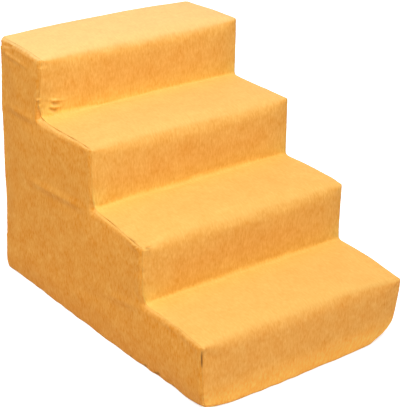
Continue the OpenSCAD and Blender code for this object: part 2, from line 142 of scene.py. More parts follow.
row_z = spaced(HEM_Z, WINDOW_LOW, NET_FOOT) + spaced(WINDOW_LOW, WINDOW_HIGH, NET)[1:]
tread_row = {}
for k in range(1, STEPS + 1):
    low, high = row_z[-1], tread_z(k) - NOSING_R
    if k > 1:
        low = tread_z(k - 1) + HOLLOW_R
        row_z.append(low)
    if k == STEPS:
        row_z += spaced(low, FOLDS_END, NET_FOLDS)[1:] + spaced(FOLDS_END, TURN_END, NET)[1:]
        low = TURN_END
    row_z += spaced(low, high, NET)[1:]
    row_z += [high + CORNER * i / CORNER_N for i in range(1, CORNER_N + 1)]
    tread_row[k] = len(row_z) - 1
col_y, step_col = [], {}
for k in range(1, STEPS + 1):
    step_col[k] = len(col_y)
    first = riser_y(k) + NOSING_R
    last = HALF_D - NOSING_R if k == STEPS else riser_y(k + 1) - HOLLOW_R
    col_y += [riser_y(k) + SEAM_SINK + CORNER * i / CORNER_N for i in range(CORNER_N)]
    col_y += spaced(first, last, NET)
col_y += [HALF_D - NOSING_R + CORNER * i / CORNER_N for i in range(1, CORNER_N + 1)]
near_seam = spaced(MIDDLE_SHARE * SEAM_X, SEAM_X, NET_SEAM)
middle = spaced(-near_seam[0], near_seam[0], NET_MIDDLE)
strip_x = [-x for x in near_seam[:0:-1]] + middle + near_seam[1:]


def arc(y, z, r, start, end, n, sign):
    """Points of the strip's path round an edge, each with the way that leads into the foam."""
    turn = np.radians(np.linspace(start, end, n + 1))
    way = [(math.cos(a), math.sin(a)) for a in turn]
    return [(y + r * c, z + r * s, sign * c, sign * s) for c, s in way]


strip_path = []
for k in range(1, STEPS + 1):
    low = 0 if k == 1 else tread_row[k - 1] + 1
    strip_path += [(riser_y(k), z, 1, 0) for z in row_z[low:tread_row[k] - CORNER_N]]
    strip_path += arc(riser_y(k) + NOSING_R, tread_z(k) - NOSING_R, NOSING_R, 180, 90, 2 * CORNER_N, -1)
    first = step_col[k] + CORNER_N + 1
    if k < STEPS:
        hollow_y = riser_y(k + 1) - HOLLOW_R
        strip_path += [(y, tread_z(k), 0, -1) for y in col_y[first:step_col[k + 1] - 1]]
        strip_path += arc(hollow_y, tread_z(k) + HOLLOW_R, HOLLOW_R, 270, 360, 2, 1)[:2]
    else:
        strip_path += [(y, STAIR_H, 0, -1) for y in col_y[first:-CORNER_N - 1]]
        strip_path += arc(HALF_D - NOSING_R, STAIR_H - NOSING_R, NOSING_R, 90, 0, 2 * CORNER_N, -1)
turn_row = row_z.index(TURN_END)
strip_path += [(HALF_D, row_z[r], -1, 0) for r in range(tread_row[STEPS] - CORNER_N - 1, turn_row - 1, -1)]
strip_path = np.array(strip_path)


def flat_grid(name, u, v):
    """A grid of cloth whose columns and rows lie at u and v, with that as its UV map."""
    bpy.ops.object.select_all(action="DESELECT")
    columns, rows = len(u) - 1, len(v) - 1
    bpy.ops.mesh.primitive_grid_add(x_subdivisions=columns, y_subdivisions=rows, size=2, calc_uvs=True)
    cloth = bpy.context.object
    cloth.name = name
    co = np.zeros(len(cloth.data.vertices) * 3)
    cloth.data.vertices.foreach_get("co", co)
    share = (co.reshape(-1, 3)[:, :2] + 1) / 2
    col = np.rint(share[:, 0] * columns).astype(int)
    row = np.rint(share[:, 1] * rows).astype(int)
    corner = np.zeros(len(cloth.data.loops), int)
    cloth.data.loops.foreach_get("vertex_index", corner)
    uv = np.stack([np.array(u)[col[corner]], np.array(v)[row[corner]]], 1) * MM
    cloth.data.uv_layers[0].name = "cloth"
    cloth.data.uv_layers[0].data.foreach_set("uv", uv.ravel())
    return cloth, col, row


def positions(piece):
    co = np.zeros(len(piece.data.vertices) * 3)
    piece.data.vertices.foreach_get("co", co)
    return co.reshape(-1, 3) / MM


def move_to(piece, points):
    piece.data.vertices.foreach_set("co", (points * MM).ravel())
    piece.data.update()


def mark(piece, name, values):
    """Keeps a number for each vertex, which the velour's colour reads."""
    kept = piece.data.attributes.new(name, "FLOAT", "POINT")
    kept.data.foreach_set("value", values.astype(np.float32))


def place(cloth, points, depth):
    """Bends the flat cloth. Each vertex keeps its distance from the nearest seam."""
    mark(cloth, "depth", depth)
    move_to(cloth, settle(draw_foot(points)))


def softened(x, y, z, inward):
    """Rounds the nosings and hollows more away from the seams, as foam does under cloth."""
    slack = 1 - abs(x / SEAM_X) ** 4
    more = (SOFT_NOSING_R - NOSING_R) * slack
    dip = HOLLOW_R + (SOFT_HOLLOW_R - HOLLOW_R) * slack
    corners = [(HALF_D, STAIR_H, -1, -1, NOSING_R + REAR_SHARE * more, -1)]
    for k, share in enumerate(NOSING_SHARE, 1):
        corners.append((riser_y(k), tread_z(k), 1, -1, NOSING_R + share * more, -1))
        if k < STEPS:
            corners.append((riser_y(k + 1), tread_z(k), -1, 1, dip, 1))
    for corner_y, corner_z, to_y, to_z, r, sign in corners:
        v, w = (y - corner_y) * to_y, (z - corner_z) * to_z
        near = (v > -0.01) & (w > -0.01) & (v < r) & (w < r)
        v, w = (v - r) * to_y, (w - r) * to_z
        length = np.hypot(v, w) + 1e-9
        y = np.where(near, corner_y + to_y * r + v * r / length, y)
        z = np.where(near, corner_z + to_z * r + w * r / length, z)
        inward = np.where(near[:, None], sign * np.stack([v, w], 1) / length[:, None], inward)
    return y, z, inward


steps_along = np.hypot(*np.diff(strip_path[:, :2], axis=0).T)
strip_v = np.concatenate([[0], np.cumsum(steps_along)])
step_panel, col, row = flat_grid("step_panel_cloth", strip_x, strip_v)
x, edge = np.array(strip_x)[col], strip_path[row]
to_end = np.minimum(strip_v[row], strip_v[-1] - strip_v[row])
depth = np.minimum(SEAM_X - abs(x), to_end)
y, z, inward = softened(x, edge[:, 0], edge[:, 1], edge[:, 2:])
crown = STEP_CROWN * (1 - (x / SEAM_X) ** 2) * (1 - rolled(to_end, STEP_SWELL))
inset = SEAM_SINK * rolled(depth, SEAM_ROLL) - crown
place(step_panel, np.stack([x, y + inset * inward[:, 0], z + inset * inward[:, 1]], 1), depth)


# Side panels: two stair-shaped pieces of the same velour, sewn to the step panel's two edges
# with a plain seam that is pulled in between the crowned faces.
SIDE_CROWN, SIDE_SWELL = 1.2, 100


def side_depth(y, z):
    """Distance of a point of the side from the nearest seam."""
    depth = np.minimum(np.minimum(STAIR_H - z, HALF_D - y), z - HEM_Z + SEAM_SINK)
    for k in range(1, STEPS + 1):
        over = np.clip(tread_z(k - 1) - z, 0, None) if k > 1 else 0 * z
        depth = np.minimum(depth, np.hypot(np.clip(y - riser_y(k), 0, None), over))
    return depth - SEAM_SINK


def net_point(c, r):
    """The place, in y and z, and the depth of one crossing of the side's net of columns and rows."""
    k = max(n for n in step_col if step_col[n] <= c)
    a, b = c - step_col[k], r - (tread_row[k] - CORNER_N)
    rear = c - (len(col_y) - 1 - CORNER_N)
    if k > 1 and a == 0 and r == tread_row[k - 1]:
        reach = (HOLLOW_R + SEAM_SINK) * math.sqrt(0.5)
        return riser_y(k) - HOLLOW_R + reach, tread_z(k - 1) + HOLLOW_R - reach, 0
    if b < 0 or (a > CORNER_N and rear < 0):
        return col_y[c], row_z[r], float(side_depth(np.array(col_y[c]), np.array(row_z[r])))
    a, b, side = (1 - a / CORNER_N, b / CORNER_N, -1) if a <= CORNER_N else (rear / CORNER_N, b / CORNER_N, 1)
    m = max(a, b)
    turn = math.radians(45 * min(a, b) / m) if m else 0
    v, w = (math.cos(turn), math.sin(turn)) if a >= b else (math.sin(turn), math.cos(turn))
    centre = riser_y(k) + NOSING_R if side < 0 else HALF_D - NOSING_R
    return centre + side * CORNER * m * v, tread_z(k) - NOSING_R + CORNER * m * w, CORNER * (1 - m)


def side_panel(name, side):
    cloth, col, row = flat_grid(name, col_y, row_z)
    full = [tread_row[max(n for n in step_col if step_col[n] <= c)] for c in range(len(col_y))]
    net = np.array([net_point(c, min(r, full[c])) for c, r in zip(col, row)])
    depth = net[:, 2]
    x = HALF_W - SEAM_SINK * rolled(depth, SEAM_ROLL) + SIDE_CROWN * (1 - rolled(depth, SIDE_SWELL))
    place(cloth, np.stack([side * x, net[:, 0], net[:, 1]], 1), depth)
    shape = bmesh.new()
    shape.from_mesh(cloth.data)
    shape.verts.ensure_lookup_table()
    outside = [f for f in shape.faces if any(row[v.index] > full[col[v.index]] for v in f.verts)]
    bmesh.ops.delete(shape, geom=outside, context="FACES")
    if side < 0:
        bmesh.ops.reverse_faces(shape, faces=shape.faces)
    shape.to_mesh(cloth.data)
    shape.free()
    return cloth


side_left = side_panel("side_panel_left_cloth", -1)
side_right = side_panel("side_panel_right_cloth", 1)


# Back: two flat panels of the velour, one above and one below the zip, whose hems leave a
# narrow window over its teeth. They hang from the turned-down end of the step panel.
BACK_CROWN, BACK_SWELL = 0.8, 100
HEM_SINK, HEM_ROLL = 0.8, 6


def back_panel(name, rows):
    cloth, col, row = flat_grid(name, strip_x, rows)
    x, z = np.array(strip_x)[col], np.array(rows)[row]
    end = np.minimum(TURN_END - z, z - HEM_Z)
    depth = np.minimum(SEAM_X - abs(x), end)
    inset = SEAM_SINK * rolled(depth, SEAM_ROLL)
    inset = inset + HEM_SINK * rolled(abs(z - ZIP_Z) - WINDOW_HALF, HEM_ROLL)
    inset = inset - BACK_CROWN * (1 - (x / SEAM_X) ** 4) * (1 - rolled(end, BACK_SWELL))
    place(cloth, np.stack([x, HALF_D - np.minimum(inset, SEAM_SINK), z], 1), depth)
    cloth.data.flip_normals()
    return cloth


low_row, high_row = row_z.index(WINDOW_LOW), row_z.index(WINDOW_HIGH)
back_lower = back_panel("back_panel_lower_cloth", row_z[:low_row + 1])
back_upper = back_panel("back_panel_upper_cloth", row_z[high_row:turn_row + 1])


# The cover is sewn together round the foam and stuffed. The panels' edges meet point for
# point, the seams stay where they are sewn, and the cloth between them swells.
panels = [step_panel, side_left, side_right, back_lower, back_upper]
for piece in panels:
    piece.data.materials.clear()
    piece.data.materials.append(bpy.data.materials.new(piece.name))
bpy.ops.object.select_all(action="DESELECT")
for piece in panels:
    piece.select_set(True)
bpy.context.view_layer.objects.active = step_panel
bpy.ops.object.join()
cover = step_panel
cover.name = "cover"
bpy.ops.object.mode_set(mode="EDIT")
bpy.ops.mesh.select_all(action="SELECT")
bpy.ops.mesh.remove_doubles(threshold=0.1 * MM)
bpy.ops.object.mode_set(mode="OBJECT")


def edge_points(piece):
    """Which vertices lie on a seam between two panels, or on the free edge of one."""
    shape = bmesh.new()
    shape.from_mesh(piece.data)
    found = np.zeros(len(shape.verts), bool)
    for e in shape.edges:
        if len({f.material_index for f in e.link_faces}) > 1 or len(e.link_faces) < 2:
            found[[v.index for v in e.verts]] = True
    shape.free()
    return found


def give_group(piece, name, weight):
    group = piece.vertex_groups.new(name=name)
    for value in np.unique(weight[weight > 0]):
        group.add([int(i) for i in np.flatnonzero(weight == value)], float(value), "REPLACE")


# Beyond the stops the two hems are sewn together over the tapes, whose ends run out under them
# to the side seams. On the left they leave room for the pull, which lies there when the zip is open.
RIGHT_END, RIGHT_CLOSE = 183, 8
LEFT_END, LEFT_CLOSE = 191, 4.5
HEM_SLIT, HEM_GIVE, BACK_DEEP, BACK_GIVE = 0.8, 14, 3, 8
x, y, z = positions(cover).T
away = abs(z - ZIP_Z)
closed = np.where(x > 0, (x - RIGHT_END) / RIGHT_CLOSE, (-x - LEFT_END) / LEFT_CLOSE)
closed = np.clip(closed, 0, 1) * np.exp(-np.maximum(HALF_D - BACK_DEEP - y, 0) / BACK_GIVE)
pull = closed * closed * (3 - 2 * closed) * (WINDOW_HALF - HEM_SLIT)
pull = pull * np.where(away > WINDOW_HALF, np.exp(-(away - WINDOW_HALF) / HEM_GIVE), away / WINDOW_HALF)
move_to(cover, np.stack([x, y, z - np.sign(z - ZIP_Z) * pull], 1))

# The swelling of each point is held under a cap, because foam fills the cover.
PRESSURE, STIFFNESS, FRAMES, SWELL_CAP = 4, 25, 20, 2.4
at_rest = positions(cover)
give_group(cover, "sewn", edge_points(cover).astype(float))
stuffing = cover.modifiers.new("stuffing", "CLOTH")
cloth = stuffing.settings
cloth.quality = 5
cloth.mass = 0.3
cloth.tension_stiffness = cloth.compression_stiffness = STIFFNESS
cloth.shear_stiffness = 10
cloth.bending_stiffness = 2
cloth.use_pressure = True
cloth.uniform_pressure_force = PRESSURE
cloth.vertex_group_mass = "sewn"
cloth.pin_stiffness = 1
cloth.effector_weights.gravity = 0
stuffing.collision_settings.use_collision = False
stuffing.point_cache.frame_start, stuffing.point_cache.frame_end = 1, FRAMES
for step in range(1, FRAMES + 1):
    bpy.context.scene.frame_set(step)
bpy.context.view_layer.objects.active = cover
bpy.ops.object.modifier_apply(modifier="stuffing")
moved = positions(cover) - at_rest
far = np.linalg.norm(moved, axis=1)[:, None] + 1e-9
move_to(cover, at_rest + moved / far * SWELL_CAP * np.tanh(far / SWELL_CAP))
bpy.context.view_layer.objects.active = cover
smooth = cover.modifiers.new("smooth", "SUBSURF")
smooth.levels = smooth.render_levels = 1
bpy.ops.object.modifier_apply(modifier="smooth")


# What the sewing leaves on the cover: a groove at each seam, small puckers beside it, the seam
# allowance that shows through the side panels, folds where the cloth is pulled into the inner
# corners, creases over the joints of the foam and gathers along the hem.
points = positions(cover)
outward = np.zeros(len(points) * 3)
cover.data.vertices.foreach_get("normal", outward)
outward = outward.reshape(-1, 3)
depth = np.zeros(len(points), np.float32)
cover.data.attributes["depth"].data.foreach_get("value", depth)
dice = np.random.default_rng(7)


def bell(distance, width):
    return np.exp(-(distance / width) ** 2)


def waves(sizes, along=None):
    """Smooth irregular waves of about the given lengths, over the cloth or along one coordinate."""
    total = np.zeros(len(points))
    count = 5 if along is None else 2
    for size in sizes:
        for _ in range(count):
            heading = dice.normal(size=3)
            if along is None:
                way = points @ (heading / np.linalg.norm(heading))
            else:
                way = along * dice.uniform(0.9, 1.1)
            total = total + np.sin(way * 2 * math.pi / size + dice.uniform(0, 6.3))
    return total / math.sqrt(len(sizes) * count)


def fold(at, to, width, height):
    """A soft ridge, or with a negative height a crease, from one point to another of a panel."""
    at, to = np.array(at, float), np.array(to, float)
    middle, length = (at + to) / 2, np.linalg.norm(to - at) / 2
    axis = (to - at) / (2 * length)
    away = points - middle
    off_cloth = np.sum(away * outward, axis=1)
    away = away - np.where(abs(off_cloth) < 30, off_cloth, 0)[:, None] * outward
    run = away @ axis
    side = np.linalg.norm(away - run[:, None] * axis, axis=1)
    return height * bell(side, width) * np.clip(1.15 - (run / length) ** 2, 0, 1) ** 1.5


def near_to(place, reach):
    return bell(np.linalg.norm(points - place, axis=1), reach)


# Where the seams are tight or slack. They lie flat at the risers, the rear edge and the lowest tread.
_, y, z = points.T
along_seam = points.sum(axis=1)
on_side = np.clip((abs(outward[:, 0]) - 0.5) * 4, 0, 1)
by_riser = np.max([bell(y - SHIFT_Y - riser_y(k), 9) for k in range(1, STEPS + 1)], axis=0)
lumpy = np.clip(0.7 + 0.35 * waves((34, 60)), 0.2, 1.2)
tight = np.clip(0.6 + 0.5 * waves((45, 80), along_seam), 0.1, 1.2) * (1 - 0.85 * by_riser)
tight = tight * (1 - 0.9 * bell(z - STAIR_H, 12)) * (1 - 0.8 * bell(z - tread_z(1), 10))
tight = tight * (1 - 0.9 * near_to((-200, 165, 355), 30))
ragged = 1 + 2.5 * near_to((-200, -125, 224), 28)
near_foot = bell(z, 14)

GROOVE, GROOVE_W = 0.9, 1.3
LIP, LIP_IN, LIP_W = 0.3, 4, 2
PUCKER, PUCKER_SIZES, PUCKER_W = 0.28, (7, 9, 12), 4
height = -GROOVE * tight * bell(depth, GROOVE_W) + LIP * tight * bell(depth - LIP_IN, LIP_W)
puckers = PUCKER * waves(PUCKER_SIZES, along_seam) * bell(depth - LIP_IN, PUCKER_W)
height = height + puckers * lumpy * ragged * (1 - near_foot)
ALLOWANCE, ALLOWANCE_EDGE, ALLOWANCE_SHOWS = 11, 2.5, 1.1
band = np.clip((ALLOWANCE - depth) / ALLOWANCE_EDGE, 0, 1) * (1 - bell(depth, ALLOWANCE_EDGE))
height = height + ALLOWANCE_SHOWS * on_side * lumpy * band * (1 - 0.7 * by_riser) * (1 - near_foot)

# Folds: from a point, to a point, half the width, and the height, which is negative in a crease.
PUCKERS_OF_TOP_RISER = (
    ((-198, 150, 362), (-152, 150, 358), 2.2, 4.2),
    ((-201, 172, 361), (-199, 150, 363), 2.4, 2.8),
    ((-201, 169, 350), (-199, 150, 350), 2.4, 2.2),
    ((-201, 166, 339), (-199, 150, 339), 2.2, 1.8),
    ((-198, 150, 350), (-156, 150, 347), 2.4, 4.2),
    ((-198, 150, 338.5), (-160, 150, 336), 2.2, 3.8),
    ((-194, 150, 356), (-162, 150, 353), 2.2, -1.5),
    ((-194, 150, 344), (-162, 150, 341.5), 2.0, -2.0),
    ((-194, 150, 332.5), (-166, 150, 331), 2.0, -1.7))
JOINTS_OF_FOAM = (
    ((-200, 158, 325), (-200, 290, 321), 6.5, 1.8),
    ((-200, 165, 312), (-200, 290, 310), 7, -1.2),
    ((-200, 0, 223), (-200, 216, 207), 7, 2.2),
    ((-200, 15, 211), (-200, 180, 198), 8, -1.4),
    ((-200, -146, 118), (-200, -43, 94), 7, 1.8),
    ((-200, -100, 92), (-200, 68, 63), 10, -1.0))
PLEATS_AT_TOP_REAR = (
    ((-200, 298, 424), (-200, 238, 432), 2.6, -1.8),
    ((-200, 299, 415), (-200, 185, 411), 3.6, 1.8),
    ((-200, 299, 406), (-200, 235, 405), 4, -1.0))
FRONT_SEAM = (
    ((-200, -299, 116), (-200, -299, 82), 1.6, -2.2),
    ((-203, -299, 118), (-203, -299, 84), 2.4, 0.9),
    ((-197, -299, 124), (-197, -299, 108), 2.4, 1.4),
    ((-198, -298, 80), (-198, -298, 40), 2.0, -0.7))
CORNER_OF_SECOND_TREAD = (
    ((-200, -150, 217), (-189, -150, 216), 2.0, 1.4),
    ((-196, -150, 222), (-186, -150, 221), 1.6, -1.6),
    ((-200, -146, 199), (-200, -128, 178), 2.4, 1.2),
    ((-200, -146, 189), (-200, -130, 168), 2.2, -1.1),
    ((-200, -146, 176), (-200, -132, 158), 2.4, 1.1))
folds = PUCKERS_OF_TOP_RISER + JOINTS_OF_FOAM + PLEATS_AT_TOP_REAR + FRONT_SEAM + CORNER_OF_SECOND_TREAD
for at, to, width, rise in folds:
    height = height + fold(at, to, width, rise)

# Painted shade where a seam gapes: a dark brown for the shadow inside a slit too narrow to model,
# along the front edge, the left edges of the treads and the hem. The last number is how dark.
GAP_SHADOWS = (
    ((-200, -299, 116), (-200, -299, 82), 1.9, 1.0),
    ((-196, 146, 328), (-199, 12, 335), 1.3, 0.3),
    ((-197, -4, 226), (-199, -95, 229), 1.3, 0.35),
    ((-199, -90, 228), (-200, -142, 219), 1.5, 0.55),
    ((-200, -150, 220), (-188, -150, 219), 1.5, 0.5),
    ((-195, -97, 2), (-195, -101, 5), 2.0, 0.9),
    ((-194, -132, 1), (-194, -143, 9), 2.0, 1.0),
    ((-193, -160, 1), (-193, -178, 11), 2.0, 1.3),
    ((-192, -205, 1), (-192, -214, 5), 2.0, 0.9))
gap = np.sum([fold(at, to, width, dark) for at, to, width, dark in GAP_SHADOWS], axis=0)
mark(cover, "gap", np.clip(gap, 0, 1))
# Painted bounce light: how far from each hollow the yellow bounce tone reaches, kept off the side panels.
HOLLOW_BOUNCE_REACH = 29
hollows = [np.hypot(y - riser_y(k), z - tread_z(k - 1)) for k in range(2, STEPS + 1)]
mark(cover, "crease", bell(np.min(hollows, axis=0), HOLLOW_BOUNCE_REACH) * (1 - on_side))

GATHER, GATHER_H = 0.3, 26
SLACK, DRIFT = 0.14, 0.35
gathers = waves((31, 40), along_seam) * np.clip(1 - z / GATHER_H, 0, 1) ** 1.5
height = height + GATHER * gathers + SLACK * waves((38, 55, 80, 120)) * np.clip(depth / 12, 0, 1)
points = points + height[:, None] * outward

# The left edges of the treads roll inwards over the seam: tread, rear, front and how far.
ROLLED_EDGES = ((1, -140, -205, 3), (2, 8, -100, 4), (3, 158, 10, 4.5), (4, 330, 60, 4))
for k, rear, front, reach in ROLLED_EDGES:
    x, y, z = points.T
    over = z - tread_z(k)
    roll = np.clip((y - front) / (rear - front), 0, 1) ** 0.7 * (y < rear + 12)
    roll = roll * (1 - np.clip(depth / 12, 0, 1)) ** 1.5 * (over > -20) * bell(np.clip(over, 0, None), 10)
    points[:, 0] = x + reach * roll * (x < -HALF_W / 2)
for axis in range(3):
    on_floor = 1 if axis < 2 else np.clip(points[:, 2] / 30, 0, 1)
    points[:, axis] += DRIFT * waves((70, 110, 160)) * on_floor
move_to(cover, points)

bpy.ops.object.select_all(action="DESELECT")
cover.select_set(True)
bpy.context.view_layer.objects.active = cover
bpy.ops.object.mode_set(mode="EDIT")
bpy.ops.mesh.separate(type="MATERIAL")
bpy.ops.object.mode_set(mode="OBJECT")
panels = {o.data.materials[0].name.replace("_cloth", ""): o for o in bpy.context.selected_objects}


# Velour: knitted polyester whose cut pile lies along each panel. It has no gloss and shows faint
# streaks where the pile leans. Its colour also holds painted light and shade: paler on faces that
# point up, deeper on the side panels and low down, and a yellow painted bounce light in the hollows.
# Each panel of it is backed with wadding, which is thinner at the seams and behind the zip.
def srgb(code):
    part = [int(code[i:i + 2], 16) / 255 for i in (1, 3, 5)]
    return [c / 12.92 if c <= 0.04045 else ((c + 0.055) / 1.055) ** 2.4 for c in part] + [1]


def node(tree, kind, inputs=(), **settings):
    """Adds a node with its settings. Each input gets a value, or a link from a socket or a node."""
    made = tree.nodes.new(kind)
    for name, value in settings.items():
        setattr(made, name, value)
    for name, value in dict(inputs).items():
        if isinstance(name, str):
            name = next(i for i, s in enumerate(made.inputs) if s.name == name and s.enabled)
        if isinstance(value, bpy.types.Node):
            value = next(s for s in value.outputs if s.enabled)
        if isinstance(value, bpy.types.NodeSocket):
            tree.links.new(value, made.inputs[name])
        else:
            made.inputs[name].default_value = value
    return made


def new_finish(name):
    """Starts a material. Its patterns are laid out by the place in the object."""
    finish = bpy.data.materials.new(name)
    finish.use_nodes = True
    finish.node_tree.nodes.clear()
    place_at = node(finish.node_tree, "ShaderNodeTexCoord").outputs["Object"]
    return finish, finish.node_tree, place_at


# One velour, painted lit and shaded by the way each face turns. The treads, which face up, get a
# paler painted-light tone, and the top tread, nearest the lamp, the palest. The risers keep the
# velour's tone, the side panels get a deeper painted-shade tone, and everything low down, below
# about 100 mm, a darker painted-shade tone, which shows on the lowest riser. The hollows get a
# yellow painted bounce light, and painted light from the floor brightens the front near its foot.
LIT_TREAD_TONE, TOP_LIT_TONE = "#EBB25C", "#EBC078"
SHADED_FRONT_TONE, RISER_TONE, SHADED_SIDE_TONE = "#F4AB50", "#F3B154", "#E99D3D"
BOUNCE_TONE, GAP_SHADE_TONE, SHEEN_TONE = "#F7C45C", "#8A5014", "#FFE3B0"
GAP_SHADE_SHARE, SEAM_SHADE = 0.85, 0.06
FOOT_LIGHT = (1.30, 1.43, 1.27, 1)
# The heights between which the top tread's painted light comes in, the darker painted shade low
# down gives way to the risers' tone, and the painted light from the floor fades.
TOP_LIGHT_BAND, LOW_SHADE_BAND, FOOT_BAND = (280, 460), (100, 160), (5, 62)
# How much the mottle changes red, green and blue. Its flecks and streaks are the bunches in
# which the pile leans. The tufts, 0.3 mm thick, are too fine to show and are drawn 0.9 mm thick.
FLECK_DEPTH = (0.65, 0.86, 0.36)
FLECK, STREAK, PATCH, TUFT = 2.8, 5, 30, 0.9
FLECK_RISE, TUFT_RISE = 0.4, 0.3
RAMP = {"interpolation_type": "SMOOTHSTEP"}
velour, tree, place_at = new_finish("cut_pile_velour")
height_at = node(tree, "ShaderNodeSeparateXYZ", {"Vector": place_at}).outputs["Z"]
normal = node(tree, "ShaderNodeNewGeometry").outputs["Normal"]
facing = node(tree, "ShaderNodeSeparateXYZ", {"Vector": normal}).outputs
sideways = node(tree, "ShaderNodeMath", {0: facing["X"]}, operation="ABSOLUTE")
seam, crease, gap_shade = [
    node(tree, "ShaderNodeAttribute", attribute_name=name).outputs["Fac"]
    for name in ("depth", "crease", "gap")]
# Painted shade: faces turned aside, the side panels, get the deeper side tone.
turned_aside = {"Value": sideways, "From Min": 0.35, "From Max": 0.85}
side = node(tree, "ShaderNodeMapRange", turned_aside, **RAMP)
# Painted light: faces that point up, the treads, get the paler tread tone.
turned_up = {"Value": facing["Z"], "From Min": 0.1, "From Max": 0.9}
lit_share = node(tree, "ShaderNodeMapRange", turned_up, **RAMP)
# Painted light: paler towards the top tread, which is nearest the lamp.
top_light = {"Value": height_at, "From Min": TOP_LIGHT_BAND[0] * MM, "From Max": TOP_LIGHT_BAND[1] * MM}
top_light = node(tree, "ShaderNodeMapRange", top_light, **RAMP)
# Painted shade: below this band the lower front keeps a darker tone.
above = {"Value": height_at, "From Min": LOW_SHADE_BAND[0] * MM, "From Max": LOW_SHADE_BAND[1] * MM}
above = node(tree, "ShaderNodeMapRange", above, **RAMP)
# Painted bounce light: the yellow tone near the hollows, stronger on the risers than on the treads.
bounce_facing = node(tree, "ShaderNodeMapRange", {**turned_up, "To Min": 0.95, "To Max": 0.35}, **RAMP)
bounce_share = node(tree, "ShaderNodeMath", {0: crease, 1: bounce_facing}, operation="MULTIPLY")
lit_tread = {"Factor": top_light, "A": srgb(LIT_TREAD_TONE), "B": srgb(TOP_LIT_TONE)}
lit_tread = node(tree, "ShaderNodeMix", lit_tread, data_type="RGBA")
tone = {"Factor": above, "A": srgb(SHADED_FRONT_TONE), "B": srgb(RISER_TONE)}
tone = node(tree, "ShaderNodeMix", tone, data_type="RGBA")
# Mixes in the painted shade of the sides, the painted light of the treads and the painted bounce light of the
# hollows.
for share, other in ((side, srgb(SHADED_SIDE_TONE)), (lit_share, lit_tread), (bounce_share, srgb(BOUNCE_TONE))):
    tone = node(tree, "ShaderNodeMix", {"Factor": share, "A": tone, "B": other}, data_type="RGBA")

flat = node(tree, "ShaderNodeUVMap", uv_map="cloth")
lengthways = node(tree, "ShaderNodeMapping", {"Vector": flat, "Scale": (1, 0.3, 1)})
slanted = node(tree, "ShaderNodeMapping", {"Vector": flat, "Rotation": (0, 0, 0.7), "Scale": (1, 0.25, 1)})
flecks = {"Vector": lengthways, "Scale": 1 / (FLECK * MM), "Detail": 2.5, "Roughness": 0.6}
flecks = node(tree, "ShaderNodeTexNoise", flecks)
streaks = node(tree, "ShaderNodeTexNoise", {"Vector": slanted, "Scale": 1 / (STREAK * MM)})
patches = {"Vector": flat, "Scale": 1 / (PATCH * MM), "Detail": 3.0, "Roughness": 0.6}
patches = node(tree, "ShaderNodeTexNoise", patches)
mottle = -0.5
for pattern, share in ((flecks, 0.5), (streaks, 0.2), (patches, 0.3)):
    mottle = node(tree, "ShaderNodeMath", {0: pattern, 1: share, 2: mottle}, operation="MULTIPLY_ADD")
calm = {"Value": facing["Z"], "From Min": 0.15, "From Max": 0.85, "To Min": 0.8, "To Max": 0.4}
lively = {**turned_aside, "To Min": 1.0, "To Max": 1.05}
for factor in (calm, lively):
    factor = node(tree, "ShaderNodeMapRange", factor, **RAMP)
    mottle = node(tree, "ShaderNodeMath", {0: mottle, 1: factor}, operation="MULTIPLY")
tone = node(tree, "ShaderNodeVectorMath", {0: FLECK_DEPTH, 1: mottle, 2: tone}, operation="MULTIPLY_ADD")

shade = {"Value": seam, "From Min": 0.2, "From Max": 1.8, "To Min": 1 - SEAM_SHADE}
shade = node(tree, "ShaderNodeMapRange", shade, **RAMP)
tone = node(tree, "ShaderNodeVectorMath", {0: tone, "Scale": shade}, operation="SCALE")
# Painted shade: a dark brown where the seams gape.
gap_shade = node(tree, "ShaderNodeMath", {0: gap_shade, 1: GAP_SHADE_SHARE}, operation="MULTIPLY")
tone = node(tree, "ShaderNodeMix", {"Factor": gap_shade, "A": tone, "B": srgb(GAP_SHADE_TONE)}, data_type="RGBA")
rear = node(tree, "ShaderNodeMapRange", {"Value": facing["Y"], "From Min": -0.3, "From Max": 0.4}, **RAMP)
turned = node(tree, "ShaderNodeMath", {0: side, 1: rear}, operation="MAXIMUM")
front = node(tree, "ShaderNodeMath", {0: 1.0, 1: turned}, operation="SUBTRACT")
foot = {"From Min": FOOT_BAND[0] * MM, "From Max": FOOT_BAND[1] * MM, "To Min": 1.0, "To Max": 0.0}
foot = node(tree, "ShaderNodeMapRange", {"Value": height_at, **foot}, **RAMP)
foot = node(tree, "ShaderNodeMath", {0: foot, 1: front}, operation="MULTIPLY")
foot = node(tree, "ShaderNodeMix", {"Factor": foot, "A": (1, 1, 1, 1), "B": FOOT_LIGHT}, data_type="RGBA")
tone = node(tree, "ShaderNodeVectorMath", {0: tone, 1: foot}, operation="MULTIPLY")

tufts = node(tree, "ShaderNodeTexNoise", {"Vector": flat, "Scale": 1 / (TUFT * MM)})
relief = node(tree, "ShaderNodeBump", {"Height": flecks, "Strength": 0.2, "Distance": FLECK_RISE * MM})
relief = {"Height": tufts, "Strength": 0.2, "Distance": TUFT_RISE * MM, "Normal": relief}
surface = node(tree, "ShaderNodeBsdfPrincipled", {
    "Base Color": tone,
    "Normal": node(tree, "ShaderNodeBump", relief),
    "Roughness": 0.9,
    "Specular IOR Level": 0.15,
    "Sheen Weight": 0.1,
    "Sheen Roughness": 0.4,
    "Sheen Tint": srgb(SHEEN_TONE)})
node(tree, "ShaderNodeOutputMaterial", {"Surface": surface})

